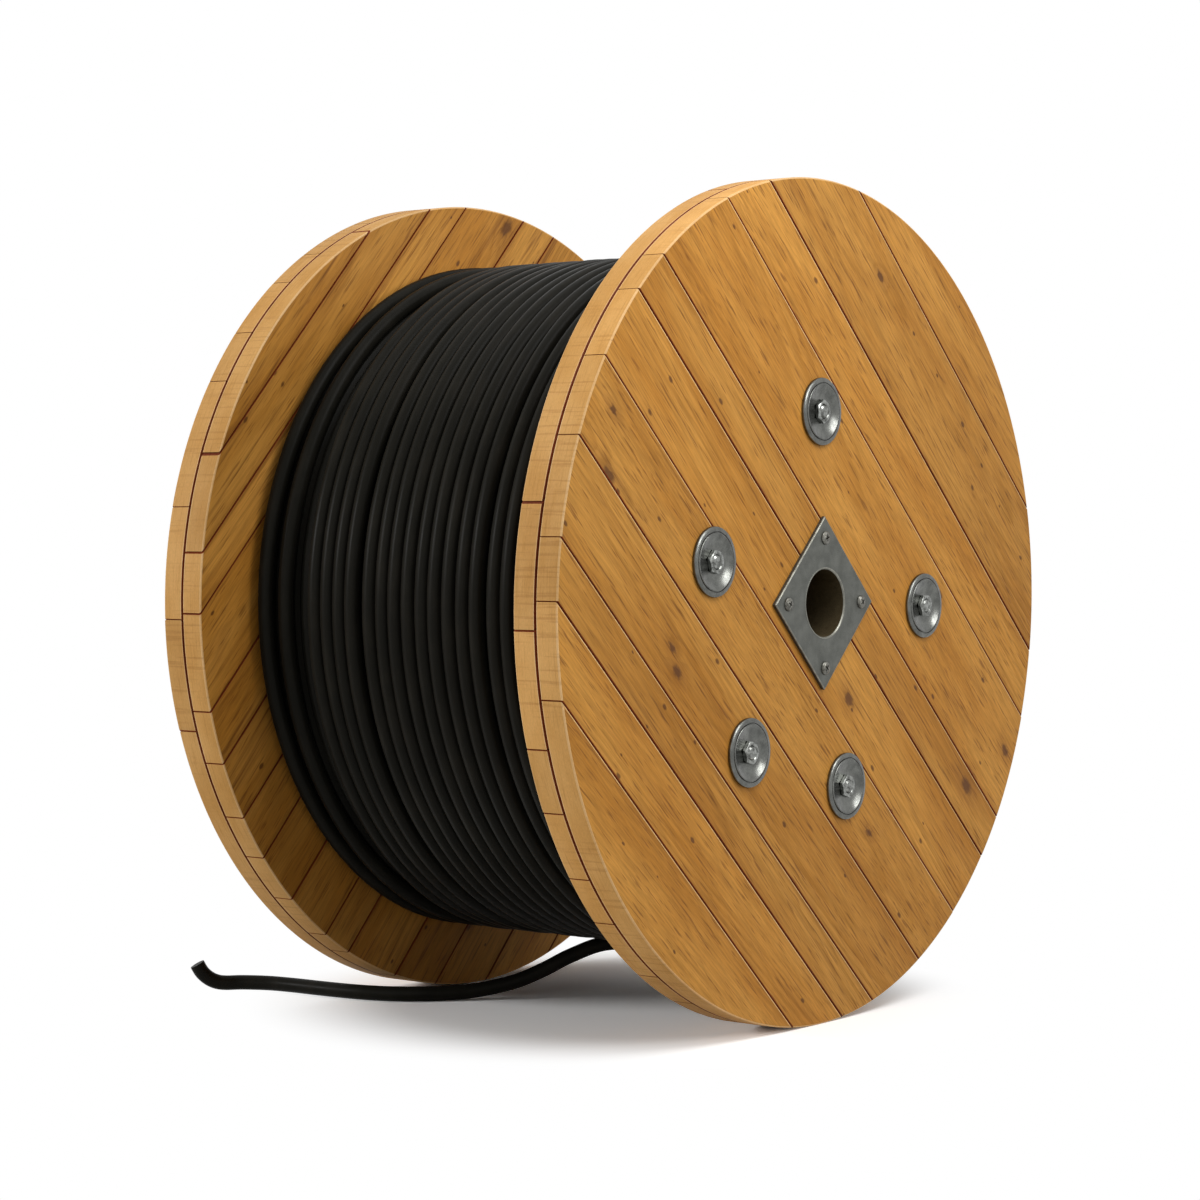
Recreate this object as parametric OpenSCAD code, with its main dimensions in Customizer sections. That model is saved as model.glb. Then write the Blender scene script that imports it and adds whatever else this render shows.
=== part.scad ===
// Wooden cable drum wound with black cable, standing on the rims of its two flanges

/* [Flanges] */
// Diameter of both flanges
flange_d = 1000; // [900:10:1200]
// Thickness of one plank layer, two layers to a flange
plank_t = 30; // [24:1:40]
// Slope of the outer planks seen from the front, the inner planks cross them squarely
plank_slope = -43; // [-50:1:-38]
// Joint between neighbouring planks
plank_gap = 2; // [1:0.5:4]

/* [Barrel] */
// Clear width between the flanges
inside_w = 470; // [420:5:560]
// Outer diameter of the ring of staves
barrel_d = 530; // [510:5:560]
// Thickness of a stave
stave_t = 24; // [18:1:28]
// Number of staves round the barrel
stave_count = 24; // [16:1:32]
// Joint between neighbouring staves
stave_gap = 1.5; // [1:0.5:4]
// Depth of the groove that the staves stand in
groove_depth = 10; // [5:1:15]

/* [Tie bolts] */
// Diameter of a tie rod
rod_d = 16; // [12:1:20]
// Gap between a tie rod and the inside of the staves
rod_inset = 7; // [4:1:12]
// Rod end standing out of its nut
rod_end = 1; // [1:0.5:10]
// Width of a nut across its flats
nut_flats = 25; // [22:1:30]
// Height of a nut
nut_h = 5; // [5:1:16]
// Diameter of a dished washer
washer_d = 80; // [72:1:100]
// Height of the washer's outer edge
washer_edge_h = 4; // [2:0.5:5]
// Height of the ridge round the washer's dish
washer_rim_h = 5.5; // [5:0.5:10]
// Width of the ring that slopes up to the ridge
washer_rim_w = 8; // [5:0.5:12]
// Thickness of the washer's floor
washer_floor_t = 1.5; // [1.5:0.5:4]

/* [Spindle plates] */
// Diameter of the spindle bore
bore_d = 80; // [60:1:90]
// Side of the square spindle plate, set on its corner
plate_w = 145; // [140:1:180]
// Thickness of the spindle plate
plate_t = 5; // [3:0.5:8]
// Wall of the sleeve that lines the wood
sleeve_t = 4; // [3:0.5:6]
// Distance of the plate screws from the axis
screw_r = 77; // [68:1:82]
// Diameter of a screw's head
screw_head_d = 16; // [12:1:18]
// Height of a screw's head
screw_head_h = 3.5; // [3:0.5:8]
// Diameter of a screw's shank
screw_d = 6; // [4:0.5:8]
// Length of a screw below its head
screw_l = 28; // [20:1:30]

/* [Cable] */
// Diameter of the cable
cable_d = 19; // [16:0.5:22]
// Depth of the cable wound on the barrel
winding_depth = 156; // [60:1:180]

/* [Fits] */
// Clearance on every side of pieces that fit into each other
fit = 0.3; // [0.2:0.1:0.5]
// Clearance round a tie rod in the wood
rod_clear = 1; // [0.5:0.5:2]

/* [Hidden] */
$fn = 96;
// Widths of the planks of each layer, laid side by side from one edge of the flange
front_outer_w = [97, 71, 54, 100, 94, 95, 60, 136, 77, 131, 85];
front_inner_w = [109, 96, 58, 88, 74, 104, 68, 98, 54, 103, 83, 65];
back_inner_w = [70, 80, 78, 77, 82, 53, 70, 73, 63, 58, 64, 90, 46, 58, 38];
back_outer_w = [65, 81, 105, 137, 87, 91, 64, 95, 75, 95, 105];
// Narrowest plank left at the edge of a flange
edge_plank_w = 30;
// Least distance from a bored hole to the middle of a joint
hole_edge = 6;
// Places of the tie rods round the axis, seen from the front
rod_angles = [91, 167, 228, 283, 358];
// Places of the screws round the axis
screw_angles = [90, 180, 270, 0];
flange_r = flange_d / 2;
half_in = inside_w / 2;
layer_face = half_in + plank_t;
flange_face = layer_face + plank_t;
barrel_r = barrel_d / 2;
stave_in_r = barrel_r - stave_t;
rod_circle_r = stave_in_r - rod_inset - rod_d / 2;
rod_hole_r = rod_d / 2 + rod_clear;
screw_hole_r = screw_d / 2 + fit;
washer_r = washer_d / 2;
nut_seat = flange_face + washer_floor_t;
rod_half = nut_seat + nut_h + rod_end;
plate_face = flange_face + plate_t;
sleeve_r = bore_d / 2 + sleeve_t;
cable_r = cable_d / 2;
winding_r = barrel_r + winding_depth;
winding_bore_r = barrel_r + fit;
winding_half = half_in - fit;
// Room that a turn takes along the face, in cable diameters
turn_room = 1.04;
// Rise from one layer to the next, in cable diameters
layer_rise = 0.87;
turn_count = floor(2 * winding_half / (cable_d * turn_room));
turn_pitch = (2 * winding_half - cable_d) / (turn_count - 1);
layer_count = round((winding_r - winding_bore_r - cable_d) / (cable_d * layer_rise)) + 1;
layer_pitch = (winding_r - winding_bore_r - cable_d) / (layer_count - 1);
// Route of the free cable end: across, along the axis, height above lying on the ground
tail_route = [
    [244, -150, 134], [193, -146, 104], [142, -132, 82.5], [97, -102, 69.5],
    [62, -58, 63], [34, -10, 59.5], [0, 30, 58], [-30, 60, 43.5],
    [-53, 83, 27.5], [-76, 106, 14], [-99, 129, 6], [-121, 150, 1.5],
    [-144, 170, 0], [-168, 192, 0], [-187, 218, 0], [-200, 250, 0],
    [-207, 286, 0], [-211, 324, 0], [-214, 364, 0], [-221, 400, 0],
    [-237, 430, 0], [-252, 444, 0], [-261, 451.5, 1.8], [-269, 458, 6.8],
    [-275.5, 463.5, 14.8], [-280, 467.5, 25]
];
// Number of flats round the free cable end
tail_sides = 12;
// Level direction that the route never runs along
tail_side_dir = [0.8, 0.6, 0];

function laid_to(w, i) = i == 0 ? -flange_r : laid_to(w, i - 1) + w[(i - 1) % len(w)];
function plank_count(w, i = 1) = laid_to(w, i) > flange_r - edge_plank_w ? i : plank_count(w, i + 1);
// Holes across the planks: offset from the axis and radius
function holes_across(slope) = concat(
    [for (a = rod_angles) [rod_circle_r * sin(a - slope), rod_hole_r]],
    [for (a = screw_angles) [screw_r * sin(a - slope), screw_hole_r]]);
// A joint that would cut into a rod or screw hole moves beside it
function clear_joint(y, slope, way = 0) =
    let (hit = [for (h = holes_across(slope)) if (abs(y - h[0]) < h[1] + hole_edge - 0.001) h])
    len(hit) == 0 ? y : move_joint(hit[0], slope, way != 0 ? way : y < hit[0][0] ? -1 : 1);
function move_joint(hole, slope, way) =
    clear_joint(hole[0] + way * (hole[1] + hole_edge), slope, way);
function unit(v) = v / norm(v);
function tail_point(i) = tail_route[i] + [0, 0, cable_r];
function tail_dir(i) = unit(tail_route[min(i + 1, len(tail_route) - 1)] - tail_route[max(i - 1, 0)]);
function across(dir) = unit(tail_side_dir - (tail_side_dir * dir) * dir);
function ring_point(p, u, v, a) = p + cable_r * (cos(a) * u + sin(a) * v);
function tail_ring(i) =
    let (dir = tail_dir(i), u = across(dir), v = cross(dir, u))
    [for (k = [0 : tail_sides - 1]) ring_point(tail_point(i), u, v, k * 360 / tail_sides)];

// Turns the drum's axis level, with the front flange towards the viewer and its rim on the ground
module upright() {
    translate([0, 0, flange_r]) rotate([90, 0, 0]) children();
}

// The same piece on the back flange
module on_back() {
    mirror([0, 0, 1]) children();
}

module at_rod(i) {
    rotate(rod_angles[i - 1]) translate([rod_circle_r, 0, 0]) children();
}

module at_screw(i) {
    rotate(screw_angles[i - 1]) translate([screw_r, 0, 0]) children();
}

// Everything bored through the wood of a flange
module flange_holes() {
    cylinder(r = sleeve_r + fit, h = 2 * flange_face + 2, center = true);
    for (i = [1 : len(rod_angles)])
        at_rod(i) cylinder(r = rod_hole_r, h = 2 * flange_face + 2, center = true);
    for (i = [1 : len(screw_angles)])
        at_screw(i) difference() {
            cylinder(r = screw_hole_r, h = 2 * flange_face + 2, center = true);
            cylinder(r = screw_d, h = 2 * (plate_face - screw_l - fit), center = true);
        }
}

// Rings in the inner faces of the flanges that the staves stand in
module stave_grooves() {
    difference() {
        cylinder(r = barrel_r + fit, h = 2 * (half_in + groove_depth), center = true);
        cylinder(r = stave_in_r - fit, h = 2 * (half_in + groove_depth) + 2, center = true);
    }
}

module plank(w, i, slope, from) {
    last = plank_count(w) - 1;
    low = i == 0 ? -flange_r - 1 : clear_joint(laid_to(w, i), slope) + plank_gap / 2;
    high = i == last ? flange_r + 1 : clear_joint(laid_to(w, i + 1), slope) - plank_gap / 2;
    intersection() {
        translate([0, 0, from]) cylinder(r = flange_r, h = plank_t);
        rotate(slope) translate([-flange_r - 1, low, from - 1])
            cube([flange_d + 2, high - low, plank_t + 2]);
    }
}

module outer_layer(w, from) {
    for (i = [0 : plank_count(w) - 1])
        difference() {
            plank(w, i, plank_slope, from);
            flange_holes();
        }
}

module inner_layer(w, from) {
    for (i = [0 : plank_count(w) - 1])
        difference() {
            plank(w, i, plank_slope + 90, from);
            flange_holes();
            stave_grooves();
        }
}

module front_outer_planks() {
    color("burlywood") upright() outer_layer(front_outer_w, layer_face);
}

module front_inner_planks() {
    color("tan") upright() inner_layer(front_inner_w, half_in);
}

module back_inner_planks() {
    color("tan") upright() inner_layer(back_inner_w, -layer_face);
}

module back_outer_planks() {
    color("burlywood") upright() outer_layer(back_outer_w, -flange_face);
}

// Sector that one stave fills
module stave_wedge() {
    half_angle = 180 / stave_count;
    reach = barrel_r / cos(half_angle) + 1;
    shift = stave_gap / 2 / sin(half_angle);
    translate([0, 0, -half_in - groove_depth + fit]) linear_extrude(inside_w + 2 * groove_depth - 2 * fit)
        polygon([[shift, 0], [reach, (reach - shift) * tan(half_angle)],
            [reach, -(reach - shift) * tan(half_angle)]]);
}

module barrel_staves() {
    color("wheat") upright() for (i = [0 : stave_count - 1])
        rotate(i * 360 / stave_count) difference() {
            intersection() {
                cylinder(r = barrel_r, h = 2 * flange_face, center = true);
                stave_wedge();
            }
            cylinder(r = stave_in_r, h = 2 * flange_face + 2, center = true);
        }
}

module tie_rod(i) {
    color("dimgray") upright() at_rod(i) cylinder(d = rod_d, h = 2 * rod_half, center = true);
}

// Dished washer: flat back, ring sloping up to a ridge, dish sunk below it
module washer() {
    ridge_r = washer_r - washer_rim_w;
    floor_r = nut_flats / 2 / cos(30) + 2;
    translate([0, 0, flange_face]) rotate_extrude() polygon([
        [rod_d / 2 + fit, 0], [washer_r, 0], [washer_r, washer_edge_h], [ridge_r, washer_rim_h],
        [floor_r, washer_floor_t], [rod_d / 2 + fit, washer_floor_t]
    ]);
}

module front_washer(i) {
    color("silver") upright() at_rod(i) washer();
}

module back_washer(i) {
    color("silver") upright() on_back() at_rod(i) washer();
}

module nut() {
    translate([0, 0, nut_seat]) difference() {
        cylinder(d = nut_flats / cos(30), h = nut_h, $fn = 6);
        translate([0, 0, -1]) cylinder(r = rod_d / 2 + fit, h = nut_h + 2);
    }
}

module front_nut(i) {
    color("gray") upright() at_rod(i) nut();
}

module back_nut(i) {
    color("gray") upright() on_back() at_rod(i) nut();
}

// Square plate on its corner with the sleeve that lines the bore
module spindle_plate() {
    difference() {
        union() {
            translate([0, 0, flange_face + plate_t / 2]) rotate(45)
                cube([plate_w, plate_w, plate_t], center = true);
            translate([0, 0, half_in]) cylinder(r = sleeve_r, h = plate_face - half_in);
        }
        cylinder(d = bore_d, h = plate_face + 1);
        for (i = [1 : len(screw_angles)])
            at_screw(i) cylinder(r = screw_hole_r, h = plate_face + 1);
    }
}

module front_spindle_plate() {
    color("darkgray") upright() spindle_plate();
}

module back_spindle_plate() {
    color("darkgray") upright() on_back() spindle_plate();
}

module screw() {
    head_r = screw_head_d / 2;
    translate([0, 0, plate_face]) rotate_extrude() polygon([
        [0, -screw_l], [screw_d / 2, -screw_l], [screw_d / 2, 0], [head_r, 0], [head_r, screw_head_h * 0.4],
        [head_r * 0.7, screw_head_h * 0.85], [head_r * 0.3, screw_head_h], [0, screw_head_h]
    ]);
}

module front_screw(i) {
    color("dimgray") upright() at_screw(i) screw();
}

module back_screw(i) {
    color("dimgray") upright() on_back() at_screw(i) screw();
}

// Section of the wound cable: a solid block with turns along its face and layers up its ends
module winding_section() {
    translate([winding_bore_r, cable_r - winding_half])
        square([winding_r - cable_r - winding_bore_r, 2 * winding_half - cable_d]);
    for (i = [0 : turn_count - 1])
        translate([winding_r - cable_r, cable_r - winding_half + i * turn_pitch]) circle(r = cable_r);
    for (side = [-1, 1], i = [0 : layer_count - 2])
        translate([winding_bore_r + cable_r + i * layer_pitch, side * (winding_half - cable_r)])
            circle(r = cable_r);
}

module cable_winding() {
    color("black") upright() rotate_extrude() winding_section();
}

module cable_tail() {
    rings = len(tail_route);
    sides = tail_sides;
    first_cap = [for (k = [0 : sides - 1]) k];
    last_cap = [for (k = [sides - 1 : -1 : 0]) (rings - 1) * sides + k];
    walls = [for (i = [0 : rings - 2], k = [0 : sides - 1])
        let (a = i * sides + k, b = i * sides + (k + 1) % sides)
        each [[a, a + sides, b], [b, a + sides, b + sides]]];
    color("black") polyhedron(points = [for (i = [0 : rings - 1]) each tail_ring(i)],
        faces = concat([first_cap], walls, [last_cap]));
}

front_outer_planks();
front_inner_planks();
back_inner_planks();
back_outer_planks();
barrel_staves();
front_spindle_plate();
back_spindle_plate();
cable_winding();
cable_tail();
for (i = [1 : len(rod_angles)]) {
    tie_rod(i);
    front_washer(i);
    back_washer(i);
    front_nut(i);
    back_nut(i);
}
for (i = [1 : len(screw_angles)]) {
    front_screw(i);
    back_screw(i);
}
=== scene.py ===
# Wooden cable drum: looks of the planks, the wound cable and the fittings
import math
import random

import bmesh
import bpy
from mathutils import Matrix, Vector


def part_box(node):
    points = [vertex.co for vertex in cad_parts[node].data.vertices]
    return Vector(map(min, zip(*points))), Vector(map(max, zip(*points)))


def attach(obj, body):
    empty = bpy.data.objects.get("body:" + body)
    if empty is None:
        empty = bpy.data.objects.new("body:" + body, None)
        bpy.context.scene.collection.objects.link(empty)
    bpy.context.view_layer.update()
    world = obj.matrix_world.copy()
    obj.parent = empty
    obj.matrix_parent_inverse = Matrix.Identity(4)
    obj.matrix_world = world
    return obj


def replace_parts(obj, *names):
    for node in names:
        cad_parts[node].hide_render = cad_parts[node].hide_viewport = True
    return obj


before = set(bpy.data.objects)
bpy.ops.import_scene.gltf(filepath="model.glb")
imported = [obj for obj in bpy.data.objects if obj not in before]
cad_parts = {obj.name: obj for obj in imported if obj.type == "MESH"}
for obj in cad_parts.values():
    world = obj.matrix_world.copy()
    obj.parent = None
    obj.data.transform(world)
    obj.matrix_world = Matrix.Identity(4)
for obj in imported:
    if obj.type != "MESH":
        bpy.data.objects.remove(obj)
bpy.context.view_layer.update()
MM = 0.001
BODY = "root"
FRONT, BACK = -1, 1
SIDE_NAMES = {FRONT: "front", BACK: "back"}


# Sizes read from the boxes of the parts in model.glb, in metres
def span(node, axis):
    """Size of a node along one axis."""
    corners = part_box(node)
    return corners[1][axis] - corners[0][axis]


def middle(node):
    """Middle of a node's box."""
    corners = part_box(node)
    return (corners[0] + corners[1]) / 2


FLANGE_R = span("front_outer_planks", 0) / 2
AXIS_Z = middle("front_outer_planks")[2]
FLANGE_FACE = -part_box("front_outer_planks")[0][1]
LAYER_FACE = -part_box("front_inner_planks")[0][1]
INSIDE_FACE = -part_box("front_inner_planks")[1][1]
PLATE_FACE = -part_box("front_spindle_plate")[0][1]
PLATE_REACH = span("front_spindle_plate", 0) / 2
ROD_HALF = span("tie_rod_1", 1) / 2
ROD_R = span("tie_rod_1", 0) / 2
NUT_H = span("front_nut_1", 1)
NUT_SEAT = -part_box("front_nut_1")[1][1]
SCREW_HEAD_R = span("front_screw_1", 0) / 2
SCREW_TOP = -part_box("front_screw_1")[0][1]
SCREW_TIP = -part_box("front_screw_1")[1][1]
WINDING_R = span("cable_winding", 0) / 2
WINDING_HALF = span("cable_winding", 1) / 2

# Sizes that no box shows, in metres
BORE_R = 40 * MM
SLEEVE_R = 44 * MM
WOOD_HOLE_R = 44.3 * MM
CABLE_R = 9.5 * MM
BARREL_R = 265.3 * MM
NUT_FLATS = 25 * MM
ROD_COUNT = 5
SCREW_COUNT = 4

# Planks: slope seen from the front in degrees, joints across them in millimetres from the axis
OUTER_SLOPE = -43
INNER_SLOPE = 47
OUTER_JOINT = 1.0 * MM
INNER_JOINT = 1.6 * MM
JOINTS = {
    "front_outer_planks": [-403, -332, -278, -178, -84, 11, 71, 207, 284, 415],
    "front_inner_planks": [-391, -295, -237, -149, -75, 29, 97, 180.7, 249, 352, 435],
    "back_inner_planks": [
        -430, -350, -272, -202.4, -113, -65.6, 11.1, 83, 142, 210.7, 268, 358, 404, 462],
    "back_outer_planks": [-435, -354, -249, -98, -25, 66, 130, 225, 300, 395],
}

# Where the outer turns of cable cross the level of the axis at the front, in millimetres along it
FRONT_TURNS = [
    215.5, 183.5, 134.8, 115.8, 97, 77.3, 50.2, 30.2, 11, -8.6,
    -29.7, -49, -69, -90, -110, -135, -155, -175, -195, -215,
]

# Route of the free cable end in millimetres: across, along the axis, height above lying on the floor
TAIL_ROUTE = [
    (244, -150, 134), (193, -146, 104), (142, -132, 82.5), (97, -102, 69.5),
    (62, -58, 63), (34, -10, 59.5), (0, 30, 58), (-30, 60, 43.5),
    (-53, 83, 27.5), (-76, 106, 14), (-99, 129, 6), (-121, 150, 1.5),
    (-144, 170, 0), (-168, 192, 0), (-187, 218, 0), (-200, 250, 0),
    (-207, 286, 0), (-211, 324, 0), (-214, 364, 0), (-221, 400, 0),
    (-237, 430, 0), (-252, 444, 0), (-261, 451.5, 1.8), (-269, 458, 6.8),
    (-275.5, 463.5, 14.8), (-280, 467.5, 25),
]


# Camera, light and floor
CAMERA_PLACE = (-2.9072, -2.2238, 0.5939)
CAMERA_DIRECTION = (0.78914, 0.61367, -0.02596)
CAMERA_LENS = 88.30
SENSOR_WIDTH = 36
AMBIENT = 0.22
FLOOR_HALF = 30
# Distances from the middle between which the floor turns into the white background
FLOOR_PLAIN_TO, FLOOR_WHITE_FROM = 0.26, 0.48
# Floor as it lights the object, and as it is seen, where the plain light makes it about white
FLOOR_BOUNCE = (0.5, 0.5, 0.49, 1)
FLOOR_SEEN = (1.45, 1.45, 1.45, 1)


def add_camera():
    camera = bpy.data.objects.new("camera", bpy.data.cameras.new("camera"))
    camera.data.sensor_width = SENSOR_WIDTH
    camera.data.lens = CAMERA_LENS
    camera.location = CAMERA_PLACE
    camera.rotation_euler = Vector(CAMERA_DIRECTION).to_track_quat("-Z", "Y").to_euler()
    bpy.context.collection.objects.link(camera)
    bpy.context.scene.camera = camera


def add_sun(name, towards, strength, softness):
    """A far lamp that stands in the direction towards, with a disc softness degrees wide."""
    lamp = bpy.data.lights.new(name, "SUN")
    lamp.energy = strength
    lamp.angle = math.radians(softness)
    holder = bpy.data.objects.new(name, lamp)
    holder.rotation_euler = Vector(towards).to_track_quat("Z", "Y").to_euler()
    bpy.context.collection.objects.link(holder)


def add_softbox(name, place, aim, size, power):
    lamp = bpy.data.lights.new(name, "AREA")
    lamp.energy = power
    lamp.size = size
    holder = bpy.data.objects.new(name, lamp)
    holder.location = place
    holder.rotation_euler = (Vector(place) - Vector(aim)).to_track_quat("Z", "Y").to_euler()
    bpy.context.collection.objects.link(holder)


class Nodes:
    """A node tree built by short calls, each of which returns a socket."""

    def __init__(self, tree):
        self.tree = tree

    def feed(self, socket, value):
        if isinstance(value, bpy.types.NodeSocket):
            self.tree.links.new(value, socket)
        else:
            socket.default_value = value

    def node(self, kind, **settings):
        made = self.tree.nodes.new("ShaderNode" + kind)
        for key, value in settings.items():
            setattr(made, key, value)
        return made

    def math(self, operation, *values):
        made = self.node("Math", operation=operation)
        for socket, value in zip(made.inputs, values):
            self.feed(socket, value)
        return made.outputs[0]

    def split(self, vector):
        made = self.node("SeparateXYZ")
        self.feed(made.inputs[0], vector)
        return made.outputs[0], made.outputs[1], made.outputs[2]

    def join(self, *values):
        made = self.node("CombineXYZ")
        for socket, value in zip(made.inputs, values):
            self.feed(socket, value)
        return made.outputs[0]

    def stretch(self, vector, factors):
        made = self.node("VectorMath", operation="MULTIPLY")
        self.feed(made.inputs[0], vector)
        made.inputs[1].default_value = factors
        return made.outputs[0]

    def noise(self, vector, detail=2.0, roughness=0.5):
        made = self.node("TexNoise")
        self.feed(made.inputs["Vector"], vector)
        made.inputs["Scale"].default_value = 1.0
        made.inputs["Detail"].default_value = detail
        made.inputs["Roughness"].default_value = roughness
        return made.outputs["Fac"]

    def cells(self, vector, dimensions="3D"):
        """Distance to the nearest scattered point, and that point's random number."""
        made = self.node("TexVoronoi", voronoi_dimensions=dimensions)
        self.feed(made.inputs["Vector"], vector)
        made.inputs["Scale"].default_value = 1.0
        return made.outputs["Distance"], self.split(made.outputs["Color"])[0]

    def remap(self, value, low, high, to_low=0.0, to_high=1.0):
        made = self.node("MapRange", interpolation_type="SMOOTHSTEP")
        for name, number in (("Value", value), ("From Min", low), ("From Max", high),
                             ("To Min", to_low), ("To Max", to_high)):
            self.feed(made.inputs[name], number)
        return made.outputs[0]

    def mix(self, factor, first, second, blend="MIX"):
        made = self.node("Mix", data_type="RGBA", blend_type=blend)
        self.feed(made.inputs[0], factor)
        self.feed(made.inputs[6], first)
        self.feed(made.inputs[7], second)
        return made.outputs[2]

    def seen_directly(self):
        """1 for rays of the camera, of a mirror or through glass, and 0 for the rest."""
        path = self.node("LightPath")
        seen = self.math("MAXIMUM", path.outputs["Is Camera Ray"], path.outputs["Is Glossy Ray"])
        return self.math("MAXIMUM", seen, path.outputs["Is Transmission Ray"])


def add_world():
    world = bpy.data.worlds.new("studio")
    world.use_nodes = True
    bpy.context.scene.world = world
    nodes = Nodes(world.node_tree)
    background = world.node_tree.nodes["Background"]
    background.inputs["Color"].default_value = (1, 1, 1, 1)
    level = nodes.math("MULTIPLY_ADD", nodes.seen_directly(), 1 - AMBIENT, AMBIENT)
    nodes.feed(background.inputs["Strength"], level)


def add_floor():
    """A pale floor that keeps the shadow and runs out into the white background."""
    mesh = bpy.data.meshes.new("floor")
    corners = [(-1, -1), (1, -1), (1, 1), (-1, 1)]
    mesh.from_pydata([(x * FLOOR_HALF, y * FLOOR_HALF, 0) for x, y in corners], [], [(0, 1, 2, 3)])
    floor = bpy.data.objects.new("floor", mesh)
    bpy.context.collection.objects.link(floor)
    material = bpy.data.materials.new("floor")
    material.use_nodes = True
    tree = material.node_tree
    nodes = Nodes(tree)
    tree.nodes.remove(tree.nodes["Principled BSDF"])
    paint = nodes.node("BsdfDiffuse")
    tint = nodes.mix(nodes.seen_directly(), FLOOR_BOUNCE, FLOOR_SEEN)
    nodes.feed(paint.inputs["Color"], tint)
    glow = nodes.node("Emission")
    place = nodes.node("NewGeometry").outputs["Position"]
    distance = nodes.node("VectorMath", operation="LENGTH")
    nodes.feed(distance.inputs[0], place)
    far = nodes.remap(distance.outputs["Value"], FLOOR_PLAIN_TO, FLOOR_WHITE_FROM)
    blend = nodes.node("MixShader")
    nodes.feed(blend.inputs[0], nodes.math("MULTIPLY", far, nodes.seen_directly()))
    nodes.feed(blend.inputs[1], paint.outputs[0])
    nodes.feed(blend.inputs[2], glow.outputs[0])
    nodes.feed(tree.nodes["Material Output"].inputs["Surface"], blend.outputs[0])
    mesh.materials.append(material)


def add_studio():
    bpy.context.scene.view_settings.view_transform = "Standard"
    add_camera()
    add_world()
    add_floor()
    add_sun("key", (0.45, -0.83, 0.30), 0.7, 18)
    add_sun("top", (0.0, 0.0, 1.0), 0.45, 50)
    add_sun("left", (-0.74, 0.60, 0.30), 1.55, 14)
    add_sun("fill", (-0.95, -0.25, 0.10), 0.3, 40)
    add_softbox("over", (-0.2, -1.2, 1.95), (0, -0.3, 0.75), 1.0, 19)


# Materials
def shade(red, green, blue):
    """A colour written as on screen, 0 to 255, as the shader's linear one."""
    def linear(value):
        value /= 255
        return value / 12.92 if value <= 0.04045 else ((value + 0.055) / 1.055) ** 2.4
    return (linear(red), linear(green), linear(blue), 1.0)


class Finish(Nodes):
    """A material with one glossy surface shader."""

    def __init__(self, name, gloss, metal=0.0):
        self.material = bpy.data.materials.new(name)
        self.material.use_nodes = True
        super().__init__(self.material.node_tree)
        self.surface = self.tree.nodes["Principled BSDF"]
        self.surface.inputs["Specular IOR Level"].default_value = gloss
        self.surface.inputs["Metallic"].default_value = metal

    def attribute(self, name):
        return self.node("Attribute", attribute_name=name).outputs["Vector"]

    def object_place(self):
        return self.node("TexCoord").outputs["Object"]

    def colour(self, value):
        self.feed(self.surface.inputs["Base Color"], value)

    def roughness(self, value):
        self.feed(self.surface.inputs["Roughness"], value)

    def bump(self, height, depth, strength=1.0):
        made = self.node("Bump")
        made.inputs["Strength"].default_value = strength
        made.inputs["Distance"].default_value = depth
        self.feed(made.inputs["Height"], height)
        self.feed(self.surface.inputs["Normal"], made.outputs[0])


RING_PITCH = 4.5 * MM
KNOT_CELL = 0.13
SPECK_CELL = 0.042
KNOT_SHADE = shade(84, 47, 20)
SEAM_STAIN_WIDTH = 9 * MM


def knots(finish, grain, cell_size, least, size, ragged):
    """Scattered knots: how near a point is to one, and whether it lies in its heart."""
    along, across, _ = finish.split(grain)
    cell = finish.join(finish.math("MULTIPLY", along, 0.55 / cell_size),
                       finish.math("MULTIPLY", across, 1 / cell_size), 0.0)
    gap, pick = finish.cells(cell, "2D")
    gap = finish.math("MULTIPLY_ADD", finish.math("SUBTRACT", ragged, 0.5), 0.9 * size, gap)
    picked = finish.math("GREATER_THAN", pick, least)
    radius = finish.remap(pick, least, 1.0, 0.5 * size, size)
    reach = finish.math("DIVIDE", gap, radius)
    halo = finish.math("MULTIPLY", finish.remap(reach, 0.6, 3.2, 1.0, 0.0), picked)
    heart = finish.math("MULTIPLY", finish.remap(reach, 0.45, 1.15, 1.0, 0.0), picked)
    return halo, heart


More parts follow.
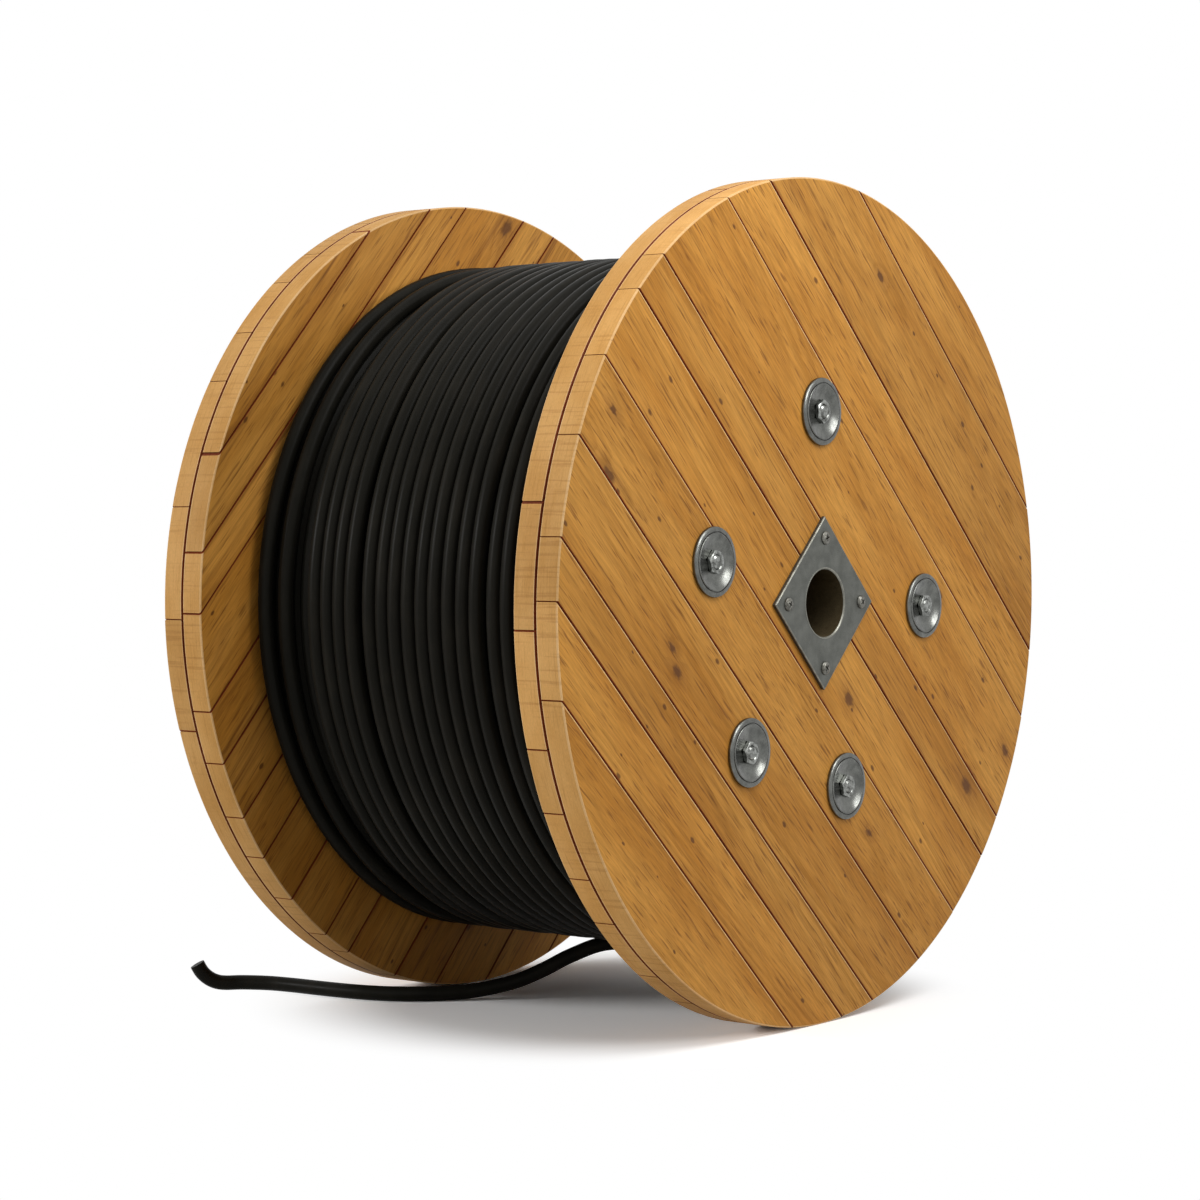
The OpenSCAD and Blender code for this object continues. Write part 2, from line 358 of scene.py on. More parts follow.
def wood_pattern(finish, grain, pale, mid, dark, knot, ring_depth, streak_depth, fibre_depth):
    """Colour and height of sawn softwood whose fibres run along the first axis of grain."""
    _, across, deep = finish.split(grain)
    ragged = finish.noise(finish.stretch(grain, (110, 240, 240)), 3.0, 0.6)
    halo, heart = knots(finish, grain, KNOT_CELL, 0.66, 0.07, ragged)
    _, speck = knots(finish, grain, SPECK_CELL, 0.8, 0.075, ragged)
    radius = finish.math("SQRT", finish.math("ADD", finish.math("POWER", across, 2.0),
                                             finish.math("POWER", deep, 2.0)))
    warp = finish.noise(finish.stretch(grain, (1.2, 7, 7)))
    radius = finish.math("MULTIPLY_ADD", warp, 0.012, radius)
    radius = finish.math("MULTIPLY_ADD", halo, 0.004, radius)
    phase = finish.math("FRACT", finish.math("DIVIDE", radius, RING_PITCH))
    late = finish.math("MULTIPLY", finish.remap(phase, 0.2, 0.86),
                       finish.remap(phase, 0.86, 1.0, 1.0, 0.0))
    fade = finish.remap(finish.noise(finish.stretch(grain, (1.8, 16, 16))), 0.42, 0.66)
    late = finish.math("MULTIPLY", late, fade)
    broad = finish.noise(finish.stretch(grain, (2.4, 14, 14)), 3.0, 0.6)
    streak = finish.noise(finish.stretch(grain, (2.2, 110, 110)), 3.0, 0.6)
    dash = finish.noise(finish.stretch(grain, (20, 400, 400)), 2.0)
    fibre = finish.noise(finish.stretch(grain, (18, 400, 400)), 4.0, 0.65)
    colour = finish.mix(finish.remap(broad, 0.32, 0.68), mid, pale)
    streaks = finish.math("MULTIPLY", finish.remap(streak, 0.52, 0.76), streak_depth)
    colour = finish.mix(streaks, colour, dark)
    colour = finish.mix(finish.math("MULTIPLY", late, ring_depth), colour, dark)
    colour = finish.mix(finish.math("MULTIPLY", finish.remap(dash, 0.57, 0.7), fibre_depth), colour, dark)
    light = finish.remap(fibre, 0.3, 0.7, 1.0 - 0.28 * fibre_depth, 1.0 + 0.24 * fibre_depth)
    colour = finish.mix(1.0, colour, finish.join(light, light, light), "MULTIPLY")
    colour = finish.mix(finish.math("MULTIPLY", halo, 0.28), colour, dark)
    colour = finish.mix(finish.math("MULTIPLY", finish.math("MAXIMUM", heart, speck), 0.82), colour, knot)
    height = finish.math("MULTIPLY_ADD", fibre, 0.6, finish.math("MULTIPLY", late, -0.5))
    return colour, height


def plank_wood(name, pale, mid, dark, ring_depth, streak_depth, fibre_depth, seam_stain):
    """Plank wood with its own tone on each plank and a stain along the joints."""
    finish = Finish(name, 0.16)
    board = finish.attribute("board")
    offset, half_width, tone = finish.split(board)
    colour, height = wood_pattern(finish, finish.attribute("grain"), pale, mid, dark, KNOT_SHADE,
                                  ring_depth, streak_depth, fibre_depth)
    colour = finish.mix(1.0, colour, finish.join(tone, tone, tone), "MULTIPLY")
    seam = finish.math("SUBTRACT", half_width, finish.math("ABSOLUTE", offset))
    stain = finish.remap(seam, 0.0, SEAM_STAIN_WIDTH, seam_stain, 0.0)
    colour = finish.mix(stain, colour, dark)
    finish.colour(colour)
    finish.roughness(finish.remap(height, -0.4, 0.6, 0.66, 0.5))
    finish.bump(height, 0.5 * MM, 0.5)
    return finish.material


def rim_wood(name, pale, mid, dark):
    """Sawn wood of the rims and edges, with fine streaks along the rim and saw lines across it."""
    finish = Finish(name, 0.16)
    tone = finish.split(finish.attribute("board"))[2]
    x, y, z = finish.split(finish.object_place())
    along = finish.math("MULTIPLY", finish.math("ARCTAN2", x, finish.math("SUBTRACT", z, AXIS_Z)), FLANGE_R)
    place = finish.join(along, y, 0.0)
    broad = finish.noise(finish.stretch(place, (9, 14, 1)), 3.0, 0.6)
    streak = finish.noise(finish.stretch(place, (22, 420, 1)), 3.0, 0.6)
    saw = finish.noise(finish.stretch(place, (260, 9, 1)), 2.0)
    saw_patch = finish.remap(finish.noise(finish.stretch(place, (5, 9, 1))), 0.36, 0.56)
    speck = finish.noise(finish.stretch(place, (260, 900, 1)), 3.0, 0.6)
    colour = finish.mix(finish.remap(broad, 0.3, 0.7), mid, pale)
    colour = finish.mix(finish.remap(streak, 0.5, 0.8, 0.0, 0.4), colour, dark)
    saw_line = finish.math("MULTIPLY", finish.remap(saw, 0.54, 0.68), saw_patch)
    colour = finish.mix(finish.math("MULTIPLY", saw_line, 0.3), colour, dark)
    light = finish.math("MULTIPLY", finish.remap(speck, 0.25, 0.75, 0.92, 1.08), tone)
    colour = finish.mix(1.0, colour, finish.join(light, light, light), "MULTIPLY")
    finish.colour(colour)
    finish.roughness(finish.remap(streak, 0.3, 0.7, 0.55, 0.7))
    finish.bump(finish.math("MULTIPLY_ADD", saw_line, -0.6, streak), 0.4 * MM, 0.4)
    return finish.material


def stave_wood():
    """Rough wood of the barrel, with the fibres along the axis."""
    finish = Finish("stave_wood", 0.3)
    x, y, z = finish.split(finish.object_place())
    grain = finish.join(y, x, finish.math("SUBTRACT", z, AXIS_Z))
    pale, mid, dark = shade(196, 146, 84), shade(180, 128, 66), shade(128, 84, 38)
    colour, height = wood_pattern(finish, grain, pale, mid, dark, KNOT_SHADE, 0.4, 0.5, 0.6)
    finish.colour(colour)
    finish.roughness(finish.remap(height, -0.4, 0.6, 0.8, 0.65))
    finish.bump(height, 0.8 * MM, 0.6)
    return finish.material


def steel(name, pale, dark, smooth, rough, spot):
    """Bare or galvanised steel, mottled in patches of about spot metres, with fine scuffs."""
    finish = Finish(name, 0.5, 1.0)
    place = finish.object_place()
    patch = finish.noise(finish.stretch(place, (1 / spot,) * 3), 4.0, 0.6)
    fine = finish.noise(finish.stretch(place, (900,) * 3), 2.0)
    mixed = finish.math("MULTIPLY_ADD", fine, 0.35, finish.math("MULTIPLY", patch, 0.65))
    colour = finish.mix(finish.remap(mixed, 0.32, 0.68), dark, pale)
    finish.colour(colour)
    finish.roughness(finish.remap(mixed, 0.3, 0.7, rough, smooth))
    finish.bump(mixed, 0.25 * MM, 0.35)
    return finish.material


def cable_sheath():
    """Matt black sheath with faint drawing lines and a little dust."""
    finish = Finish("cable_sheath", 0.035)
    sheath = finish.attribute("sheath")
    lines = finish.noise(finish.stretch(sheath, (6, 900, 1)), 2.0)
    dust = finish.noise(finish.stretch(finish.object_place(), (14, 40, 14)), 4.0, 0.65)
    colour = finish.mix(finish.remap(dust, 0.42, 0.75), shade(27, 26, 22), shade(35, 33, 28))
    finish.colour(colour)
    finish.roughness(finish.remap(dust, 0.35, 0.7, 0.34, 0.42))
    finish.bump(lines, 0.1 * MM, 0.4)
    return finish.material


# Making of pieces
class Build:
    """Points and faces of one piece, gathered ring by ring."""

    def __init__(self):
        self.points = []
        self.faces = []
        self.looks = []
        self.flat = []
        self.marks = {}

    def ring(self, points, **marks):
        first = len(self.points)
        self.points += [tuple(point) for point in points]
        for name, values in marks.items():
            self.marks.setdefault(name, []).extend(values)
        return range(first, len(self.points))

    def face(self, corners, look, flat=False):
        self.faces.append(tuple(corners))
        self.looks.append(look)
        self.flat.append(flat)

    def wall(self, first, second, looks=0):
        """Closes the band between two rings of as many points."""
        count = len(first)
        for i in range(count):
            look = looks if isinstance(looks, int) else looks[i]
            self.face((first[i], first[i - 1], second[i - 1], second[i]), look)

    def cap(self, ring, look=0):
        self.face(ring, look, True)

    def piece(self, name, materials, sharp_angle=35):
        mesh = bpy.data.meshes.new(name)
        mesh.from_pydata(self.points, [], self.faces)
        for material in materials:
            mesh.materials.append(material)
        mesh.polygons.foreach_set("material_index", self.looks)
        for mark, values in self.marks.items():
            layer = mesh.attributes.new(mark, "FLOAT_VECTOR", "POINT")
            layer.data.foreach_set("vector", [number for value in values for number in value])
        gathered = bmesh.new()
        gathered.from_mesh(mesh)
        bmesh.ops.recalc_face_normals(gathered, faces=gathered.faces)
        gathered.to_mesh(mesh)
        gathered.free()
        mesh.shade_smooth()
        mesh.set_sharp_from_angle(angle=math.radians(sharp_angle))
        for polygon, flat in zip(mesh.polygons, self.flat):
            if flat:
                polygon.use_smooth = False
        made = bpy.data.objects.new(name, mesh)
        bpy.context.collection.objects.link(made)
        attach(made, BODY)
        return made


def smoothstep(value):
    value = min(max(value, 0.0), 1.0)
    return value * value * (3 - 2 * value)


# Planks
RIM_BEVEL = 1.8 * MM
# Bevels along the lower and the upper edge of a plank
OUTER_SEAM_BEVELS = (1.1 * MM, 1.3 * MM)
INNER_SEAM_BEVELS = (0.5 * MM, 0.5 * MM)
ARC_STEP = math.radians(0.8)
NOTCH_STEPS = 24
# The joint look is painted shade: a dark red-brown on the joint walls, the groove between the layers and
# the lower bevels
FACE_LOOK, RIM_LOOK, WEAR_AND_HIGHLIGHT_LOOK, JOINT_SHADE_LOOK = 0, 1, 2, 3
# Looks of a plank's walls where it ends at the rim and at the joints above and below it
GROOVE_LOOKS = {"rim": JOINT_SHADE_LOOK, "high": JOINT_SHADE_LOOK, "low": JOINT_SHADE_LOOK}
WALL_LOOKS = {"rim": RIM_LOOK, "high": JOINT_SHADE_LOOK, "low": JOINT_SHADE_LOOK}
CORNER_LOOKS = {"rim": WEAR_AND_HIGHLIGHT_LOOK, "high": JOINT_SHADE_LOOK, "low": JOINT_SHADE_LOOK}
# Bevels at a joint: painted highlight on the upper one, which faces the light, and painted shade on the
# lower one
LIT_SHADED_BEVEL_LOOKS = {"rim": WEAR_AND_HIGHLIGHT_LOOK, "high": WEAR_AND_HIGHLIGHT_LOOK, "low": JOINT_SHADE_LOOK}
# A narrow strip beside the bevels, with painted highlight along the upper edge
WORN_HIGHLIGHT_STRIP_LOOKS = {"rim": FACE_LOOK, "high": WEAR_AND_HIGHLIGHT_LOOK, "low": FACE_LOOK}
PLAIN_LOOKS = {"rim": FACE_LOOK, "high": FACE_LOOK, "low": FACE_LOOK}
# The outer joints have a pale upper edge, worn wood with painted highlight, and a lower bevel of painted
# shade; the inner ones are plain dark lines of painted shade
OUTER_SEAM_LOOKS = [LIT_SHADED_BEVEL_LOOKS, WORN_HIGHLIGHT_STRIP_LOOKS]
INNER_SEAM_LOOKS = [CORNER_LOOKS, PLAIN_LOOKS]
# Edges of a plank, as insets in bevel widths and depths in rim bevels
ROUND_OVER = [(1.5, 0.0), (1.0, 0.04), (0.3, 0.3), (0.0, 1.0)]
GROOVE = [(1.6, 0.0), (0.6, 0.5), (0.0, 1.0), (0.0, 1.6)]


def arc(radius, start, end, steps):
    return [(radius * math.cos(start + (end - start) * i / steps),
             radius * math.sin(start + (end - start) * i / steps)) for i in range(steps + 1)]


def edge_angle(offset, radius):
    return math.asin(min(max(offset / radius, -1.0), 1.0))


def notch(offset, hole_r, upper):
    """The bite that the spindle hole takes out of a plank's upper or lower edge."""
    if abs(offset) >= WOOD_HOLE_R:
        return []
    lean = edge_angle(offset, hole_r)
    start, sweep = (lean, math.pi + 2 * lean) if upper else (math.pi - lean, math.pi - 2 * lean)
    return arc(hole_r, start, start - sweep, NOTCH_STEPS)


def plank_outline(low, high, low_inset, high_inset, rim_inset):
    """Outline of a plank drawn in at its joints and at the rim, and which edge ends at each point."""
    rim_r = FLANGE_R - rim_inset
    hole_r = WOOD_HOLE_R + high_inset
    at_bottom, at_top = low <= -FLANGE_R, high >= FLANGE_R
    steps = max(2, math.ceil((edge_angle(high, FLANGE_R) - edge_angle(low, FLANGE_R)) / ARC_STEP))
    low_angle = edge_angle(low + low_inset, rim_r)
    high_angle = edge_angle(high - high_inset, rim_r)
    right = arc(rim_r, low_angle, high_angle, steps)
    left = arc(rim_r, math.pi - high_angle, math.pi - low_angle, steps)
    top = notch(high - high_inset, hole_r, True) if abs(high) < WOOD_HOLE_R else []
    bottom = notch(low + low_inset, hole_r, False) if abs(low) < WOOD_HOLE_R else []
    if at_top:
        left = left[1:]
    if at_bottom:
        left = left[:-1]
    edges = ["rim" if at_bottom else "low"] + ["rim"] * (len(right) - 1) + ["high"] * len(top)
    edges += ["rim" if at_top else "high"] + ["rim"] * (len(left) - 1) + ["low"] * len(bottom)
    return right + top + left + bottom, edges


def add_plank(build, rng, low, high, slope, from_face, to_face, seam_bevels, seam_looks):
    """One plank between two joints, from its hidden face to its outer one."""
    turn = math.radians(slope)
    along = Vector((math.cos(turn), 0, math.sin(turn)))
    across = Vector((-math.sin(turn), 0, math.cos(turn)))
    middle_line, half_width = (low + high) / 2, (high - low) / 2
    tone = rng.uniform(0.9, 1.06)
    shift = rng.uniform(0, 40)
    heart = (middle_line + rng.uniform(-1.3, 1.3) * half_width, rng.uniform(0.02, 0.12))
    lean = (rng.uniform(-0.03, 0.03), rng.uniform(-0.06, 0.06))
    thickness = abs(to_face - from_face) + rng.uniform(-0.5, 0.2) * MM
    outward = math.copysign(1, to_face - from_face)
    levels = [(inset, depth * RIM_BEVEL) for inset, depth in GROOVE]
    levels += [(inset, thickness - depth * RIM_BEVEL) for inset, depth in reversed(ROUND_OVER)]
    rings = []
    for inset, depth in levels:
        outline, edges = plank_outline(low, high, inset * seam_bevels[0], inset * seam_bevels[1],
                                       inset * RIM_BEVEL)
        places, grain, board = [], [], []
        for a, b in outline:
            places.append(along * a + across * b + Vector((0, from_face + outward * depth, AXIS_Z)))
            grain.append((a + shift, b - heart[0] + lean[0] * a, depth + heart[1] + lean[1] * a))
            board.append((b - middle_line, half_width, tone))
        rings.append(build.ring(places, grain=grain, board=board))
    bands = [GROOVE_LOOKS, GROOVE_LOOKS, CORNER_LOOKS, WALL_LOOKS, CORNER_LOOKS] + seam_looks
    for looks, first, second in zip(bands, rings, rings[1:]):
        build.wall(first, second, [looks[edge] for edge in edges])
    build.cap(rings[0], FACE_LOOK)
    build.cap(rings[-1], FACE_LOOK)


def add_plank_layer(node, slope, from_face, to_face, joint, seam_bevels, seam_looks, seed, materials):
    rng = random.Random(seed)
    build = Build()
    cuts = [-FLANGE_R] + [joint * MM for joint in JOINTS[node]] + [FLANGE_R]
    for number, (low, high) in enumerate(zip(cuts, cuts[1:])):
        low += 0 if number == 0 else joint / 2
        high -= 0 if number == len(cuts) - 2 else joint / 2
        add_plank(build, rng, low, high, slope, from_face, to_face, seam_bevels, seam_looks)
    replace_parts(build.piece(node + "_sawn", materials), node)


def add_flanges():
    pale, mid, dark = shade(202, 144, 64), shade(180, 121, 44), shade(104, 56, 18)
    edges = [
        rim_wood("plank_rim", shade(219, 168, 101), shade(203, 150, 81), shade(154, 102, 47)),
        # Pale edges: worn wood with a painted highlight
        rim_wood("plank_edge_wear_and_highlight", shade(232, 190, 134), shade(222, 176, 116), shade(180, 130, 76)),
        # Dark red-brown painted shade for the joint gaps, the groove between the layers and the lower
        # bevels
        rim_wood("plank_joint_shade", shade(132, 58, 22), shade(112, 46, 15), shade(72, 27, 8)),
    ]
    outer = [plank_wood("plank_face", pale, mid, dark, 0.2, 0.28, 0.62, 0.12)] + edges
    inner = [plank_wood("plank_inner_face", pale, mid, dark, 0.25, 0.7, 0.5, 0.25)] + edges
    for side, name in SIDE_NAMES.items():
        add_plank_layer(name + "_outer_planks", OUTER_SLOPE, side * LAYER_FACE, side * FLANGE_FACE,
                        OUTER_JOINT, OUTER_SEAM_BEVELS, OUTER_SEAM_LOOKS, name + " outer", outer)
        add_plank_layer(name + "_inner_planks", INNER_SLOPE, side * LAYER_FACE, side * INSIDE_FACE,
                        INNER_JOINT, INNER_SEAM_BEVELS, INNER_SEAM_LOOKS, name + " inner", inner)
    staves = bpy.data.objects["barrel_staves"]
    staves.data.materials.clear()
    staves.data.materials.append(stave_wood())


# Cable
TUBE_SIDES = 12
TURN_STEPS = 150
UNDER_LAYER_R = WINDING_R - CABLE_R - 18.5 * MM
UNDER_TURNS, UNDER_SIDES, UNDER_STEPS, CORE_STEPS = 23, 10, 110, 96
# Share of a turn, before and after its middle, in which the cable steps over to the next turn
CROSSING = 0.12
# How far a turn sways along the axis, in millimetres, and how far it rises and sinks
TURN_SWAY = 0.9
TURN_LIFT = 0.6 * MM


def tail_points(steps=6):
    """Places along the free end on a smooth curve through its route."""
    route = [Vector((x * MM, y * MM, lift * MM + CABLE_R)) for x, y, lift in TAIL_ROUTE]
    padded = [2 * route[0] - route[1]] + route + [2 * route[-1] - route[-2]]
    places = []
    for before, start, end, after in zip(padded, padded[1:], padded[2:], padded[3:]):
        for i in range(steps):
            t = i / steps
            places.append(0.5 * (2 * start + (end - before) * t
                                 + (2 * before - 5 * start + 4 * end - after) * t * t
                                 + (3 * start - before - 3 * end + after) * t ** 3))
    return places + [route[-1]]


def winding_points(leave):
    """Places along the outer turns, from the far flange to the point where the free end leaves."""
    last = len(FRONT_TURNS) - 1
    top_r = WINDING_R - CABLE_R
    across, down = leave[0], leave[2] - AXIS_Z
    leave_r = math.hypot(across, down)
    leave_turn = (math.pi - math.atan2(down, across)) / (2 * math.pi)
    start = -0.5
    count = round((last + leave_turn - start) * TURN_STEPS)
    places = []
    for i in range(count + 1):
        turn = start + (last + leave_turn - start) * i / count
        number = min(max(math.floor(turn), 0), last)
        part = turn - number
        after = min(number + 1, last)
        step = smoothstep((part - 0.5 + CROSSING) / (2 * CROSSING))
        y = FRONT_TURNS[number] + (FRONT_TURNS[after] - FRONT_TURNS[number]) * step
        y += TURN_SWAY * math.sin(2.3 * turn + 5.1 * number) * math.sin(math.pi * part) ** 2
        radius = top_r + TURN_LIFT * math.sin(4.1 * turn)
        if number == last and part > 0:
            climb = smoothstep((part - 0.2) / 0.2)
            radius += (leave_r - radius) * climb
            y += (leave[1] / MM - y) * smoothstep((part - 0.3) / (leave_turn - 0.3))
        angle = math.pi - 2 * math.pi * turn
        places.append(Vector((radius * math.cos(angle), y * MM, AXIS_Z + radius * math.sin(angle))))
    return places


def add_tube(build, places, end_directions=(None, None)):
    """A round tube along places, with flat cut ends."""
    count = len(places)
    tangents = [(places[min(i + 1, count - 1)] - places[max(i - 1, 0)]).normalized() for i in range(count)]
    tangents[0] = end_directions[0] or tangents[0]
    tangents[-1] = end_directions[1] or tangents[-1]
    side = tangents[0].orthogonal().normalized()
    length = 0.0
    rings = []
    for i, (place, tangent) in enumerate(zip(places, tangents)):
        side = (side - tangent * side.dot(tangent)).normalized()
        other = tangent.cross(side)
        length += (place - places[i - 1]).length if i else 0.0
        angles = [2 * math.pi * k / TUBE_SIDES for k in range(TUBE_SIDES)]
        ring = [place + CABLE_R * (math.cos(a) * side + math.sin(a) * other) for a in angles]
        marks = [(length, CABLE_R * math.sin(a), CABLE_R * math.cos(a)) for a in angles]
        rings.append(build.ring(ring, sheath=marks))
    for first, second in zip(rings, rings[1:]):
        build.wall(first, second)
    build.cap(rings[0])
    build.cap(rings[-1])
    return length


def add_turned(build, profile, centre, side=BACK, steps=64, closed=True, twist=0.0, mark=None):
    """Turns a profile of (radius, height along the axis) round a line through centre."""
    rings = []
    for radius, height in profile:
        angles = [twist + 2 * math.pi * k / steps for k in range(steps)]
        ring = [(centre[0] + radius * math.cos(a), side * height, centre[1] + radius * math.sin(a))
                for a in angles]
        marks = {mark: [(a * radius, height, radius) for a in angles]} if mark else {}
        rings.append(build.ring(ring, **marks))
    for first, second in zip(rings, rings[1:] + rings[:1] if closed else rings[1:]):
        build.wall(first, second)
    if not closed:
        build.cap(rings[0])
        build.cap(rings[-1])


def add_cable():
    material = cable_sheath()
    tail = tail_points()
    leave_direction = (tail[1] - tail[0]).normalized()
    free_end = Build()
    length = add_tube(free_end, tail, (leave_direction, None))
    tail_piece = free_end.piece("cable_free_end", [material])
    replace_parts(tail_piece, "cable_tail")
    tuple(tail[0])
    [tuple(place) for place in tail]
    wound = Build()
    add_tube(wound, winding_points(tail[0]), (None, leave_direction))
    axis = (0.0, AXIS_Z)
    for i in range(UNDER_TURNS):
        y = (WINDING_HALF - CABLE_R) * (1 - 2 * i / (UNDER_TURNS - 1))
        circle = [(UNDER_LAYER_R + CABLE_R * math.cos(a), y + CABLE_R * math.sin(a))
                  for a in (2 * math.pi * k / UNDER_SIDES for k in range(UNDER_SIDES))]
        add_turned(wound, circle, axis, steps=UNDER_STEPS, mark="sheath")
    core = [(BARREL_R, -WINDING_HALF), (UNDER_LAYER_R, -WINDING_HALF),
            (UNDER_LAYER_R, WINDING_HALF), (BARREL_R, WINDING_HALF)]
    add_turned(wound, core, axis, steps=CORE_STEPS, mark="sheath")
    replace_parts(wound.piece("cable_turns", [material]), "cable_winding")


# Fittings
def scaled(profile):
    return [(radius * MM, height * MM) for radius, height in profile]


def raised(profile, face):
    return [(radius, face + height) for radius, height in profile]


# Section of a dished washer in millimetres: radius and height above the flange
WASHER = scaled([
    (8.4, 0), (39.3, 0), (40, 0.7), (40, 3.2), (39.7, 3.8), (38.9, 4.2), (36.2, 4.6),
    (34.6, 4.8), (34.1, 3.8), (33.6, 3.8), (33.1, 5.2), (32.6, 5.5), (31.9, 5.5), (31.2, 5.2),
    (29, 4.4), (25, 3.1), (21, 2.1), (18, 1.6), (16, 1.5), (8.4, 1.5),
])
THREAD_PITCH = 2 * MM
THREAD_DEPTH = 1.1 * MM
THREADS = 12


def rod_profile():
    """Half of a tie rod: plain shank, screw thread and chamfered end."""
    profile = [(ROD_R, 0.0), (ROD_R, ROD_HALF - THREADS * THREAD_PITCH)]
    for i in range(THREADS - 1, 0, -1):
        profile += [(ROD_R - THREAD_DEPTH, ROD_HALF - (i + 0.45) * THREAD_PITCH),
                    (ROD_R, ROD_HALF - i * THREAD_PITCH)]
    return profile + [(ROD_R - 1.6 * MM, ROD_HALF)]


def add_nut(build, centre, side, twist):
    """Hexagon nut with its corners turned off at both ends."""
    steps = 72
    flat_r = NUT_FLATS / 2
    turned_r = 0.96 * flat_r
    chamfer = math.tan(math.radians(30))

    def ring(kind):
        points = []
        for k in range(steps):
            angle = 2 * math.pi * k / steps
            hexagon_r = flat_r / math.cos((angle % (math.pi / 3)) - math.pi / 6)
            drop = (hexagon_r - turned_r) * chamfer
            radius, height = {
                "low": (hexagon_r, drop), "high": (hexagon_r, NUT_H - drop),
                "face": (turned_r, NUT_H), "mouth": (ROD_R + 1.3 * MM, NUT_H),
                "thread": (ROD_R + 0.3 * MM, NUT_H - 1 * MM), "thread_low": (ROD_R + 0.3 * MM, 0.0),
                "seat": (turned_r, 0.0),
            }[kind]
            points.append((centre[0] + radius * math.cos(angle + twist), side * (NUT_SEAT + height),
                           centre[1] + radius * math.sin(angle + twist)))
        return build.ring(points)

    rings = [ring(kind) for kind in ("thread_low", "seat", "low", "high", "face", "mouth", "thread")]
    for first, second in zip(rings, rings[1:] + rings[:1]):
        build.wall(first, second)


def add_tie_bolts(bolt_finish, washer_finish):
    for number in range(1, ROD_COUNT + 1):
        place = middle(f"tie_rod_{number}")
        centre = (place[0], place[2])
        twist = math.atan2(place[2] - AXIS_Z, place[0])
        rod = Build()
        half = rod_profile()
        add_turned(rod, [(r, -h) for r, h in reversed(half[1:])] + half, centre, steps=28, closed=False)
        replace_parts(rod.piece(f"tie_rod_{number}_threaded", [bolt_finish]),
                    f"tie_rod_{number}")
        for side, name in SIDE_NAMES.items():
            washer = Build()
            add_turned(washer, raised(WASHER, FLANGE_FACE), centre, side, 72)
            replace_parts(washer.piece(f"{name}_washer_{number}_dished", [washer_finish]),
                        f"{name}_washer_{number}")
            nut = Build()
            add_nut(nut, centre, side, twist)
            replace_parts(nut.piece(f"{name}_nut_{number}_hex", [bolt_finish]),
                        f"{name}_nut_{number}")


def add_spindle_plate(side, finishes):
    """Square plate on its corner, with broken edges and the sleeve that lines the bore."""
    steps = 96
    edge = 1.2 * MM
    lip, lip_h = 1.4 * MM, 0.4 * MM

    def square(reach):
        points = []
        for k in range(steps):
            angle = 2 * math.pi * k / steps
            radius = reach / (abs(math.cos(angle)) + abs(math.sin(angle)))
            points.append((radius * math.cos(angle), radius * math.sin(angle)))
        return points

    def circle(radius):
        return [(radius * math.cos(2 * math.pi * k / steps), radius * math.sin(2 * math.pi * k / steps))
                for k in range(steps)]

    levels = [
        (circle(SLEEVE_R), INSIDE_FACE), (circle(SLEEVE_R), FLANGE_FACE),
        (square(PLATE_REACH), FLANGE_FACE), (square(PLATE_REACH), PLATE_FACE - edge),
        (square(PLATE_REACH - 0.5 * edge), PLATE_FACE - 0.3 * edge),
        (square(PLATE_REACH - 1.5 * edge), PLATE_FACE), (circle(BORE_R + 2 * lip), PLATE_FACE),
        (circle(BORE_R + 1.6 * lip), PLATE_FACE + lip_h), (circle(BORE_R + 0.8 * lip), PLATE_FACE + lip_h),
        (circle(BORE_R), PLATE_FACE - 2 * lip_h), (circle(BORE_R), INSIDE_FACE),
    ]
    build = Build()
    rings = [build.ring([(x, side * height, AXIS_Z + z) for x, z in outline]) for outline, height in levels]
    plain, edge_highlight, bore = 0, 1, 2
    # The broken edges and the lip round the bore take the brighter steel, a painted highlight
    looks = [plain, plain, plain, edge_highlight, edge_highlight, plain, plain, edge_highlight, edge_highlight, bore, bore]
    for look, first, second in zip(looks, rings, rings[1:] + rings[:1]):
        build.wall(first, second, look)
    name = SIDE_NAMES[side] + "_spindle_plate"
    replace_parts(build.piece(name + "_broken_edges", finishes, 20), name)


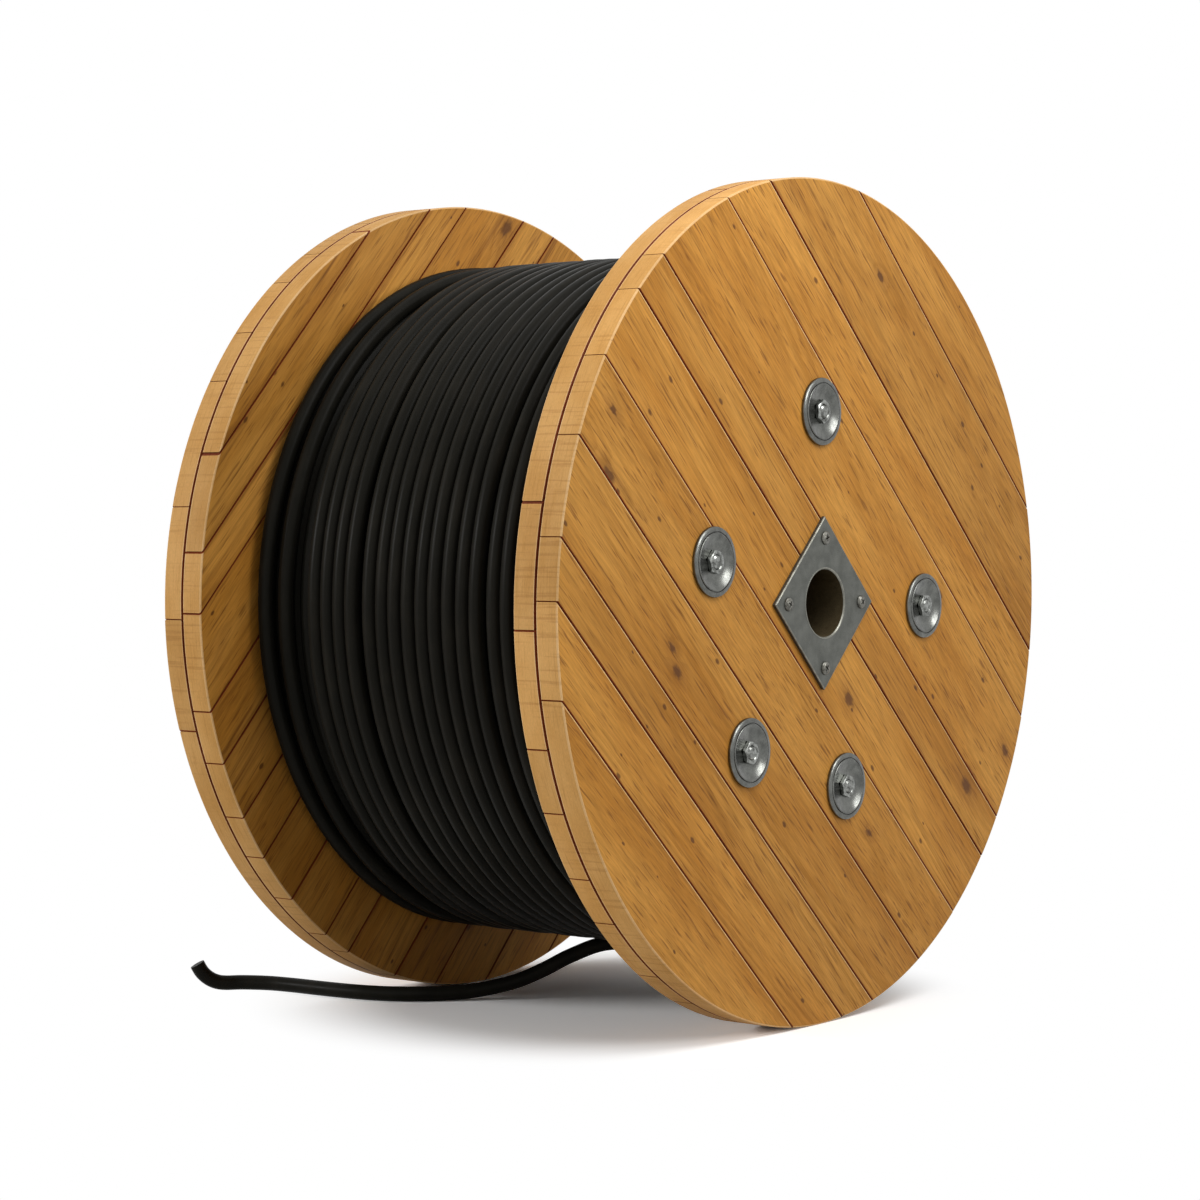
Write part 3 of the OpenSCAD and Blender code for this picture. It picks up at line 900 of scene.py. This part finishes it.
def add_screw(number, side, finish, twist):
    """Round-headed screw with a tapered cross recess."""
    node = f"{SIDE_NAMES[side]}_screw_{number}"
    place = middle(node)
    steps = 48
    head_h = SCREW_TOP - PLATE_FACE
    recess_r, recess_depth = 0.52 * SCREW_HEAD_R, 0.55 * head_h
    shank_r = 3 * MM

    def dome(radius):
        return head_h * (0.35 + 0.65 * math.sqrt(max(0.0, 1 - (radius / SCREW_HEAD_R) ** 2.4)))

    def recess(angle):
        arm = abs((angle - twist + math.pi / 4) % (math.pi / 2) - math.pi / 4)
        return recess_r * (1.0 - 0.62 * smoothstep((arm - 0.22) / 0.1))

    def ring(radius_at, height_at):
        points = []
        for k in range(steps):
            angle = 2 * math.pi * k / steps
            radius = radius_at(angle)
            points.append((place[0] + radius * math.cos(angle), side * (PLATE_FACE + height_at(radius)),
                           place[2] + radius * math.sin(angle)))
        return build.ring(points)

    build = Build()
    rings = [
        ring(lambda a: shank_r, lambda r: SCREW_TIP - PLATE_FACE), ring(lambda a: shank_r, lambda r: 0.0),
        ring(lambda a: SCREW_HEAD_R, lambda r: 0.0), ring(lambda a: SCREW_HEAD_R, dome),
        ring(lambda a: 0.93 * SCREW_HEAD_R, dome), ring(lambda a: 0.8 * SCREW_HEAD_R, dome),
        ring(lambda a: 0.6 * SCREW_HEAD_R, dome), ring(recess, dome),
        ring(lambda a: 0.8 * recess(a), lambda r: dome(r) - recess_depth),
    ]
    for first, second in zip(rings, rings[1:]):
        build.wall(first, second)
    build.cap(rings[0])
    build.cap(rings[-1])
    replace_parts(build.piece(node + "_recessed", [finish]), node)


def add_fittings():
    bolt_finish = steel("bolt_steel", shade(160, 162, 158), shade(56, 56, 52), 0.2, 0.34, 5 * MM)
    washer_finish = steel("washer_steel", shade(114, 115, 111), shade(82, 83, 80), 0.18, 0.27, 12 * MM)
    plate_finishes = [
        steel("plate_steel", shade(99, 100, 95), shade(80, 81, 77), 0.46, 0.6, 20 * MM),
        # Brighter steel on the broken edges and the lip round the bore: painted highlight
        steel("plate_edge_highlight", shade(138, 137, 128), shade(106, 105, 98), 0.35, 0.5, 8 * MM),
        steel("bore_steel", shade(128, 114, 86), shade(92, 80, 58), 0.5, 0.65, 12 * MM),
    ]
    screw_finish = steel("screw_steel", shade(128, 127, 120), shade(64, 62, 56), 0.3, 0.45, 4 * MM)
    add_tie_bolts(bolt_finish, washer_finish)
    rng = random.Random(21)
    for side in SIDE_NAMES:
        add_spindle_plate(side, plate_finishes)
        for number in range(1, SCREW_COUNT + 1):
            add_screw(number, side, screw_finish, rng.uniform(0, math.pi / 2))


add_studio()
add_cable()
add_flanges()
add_fittings()
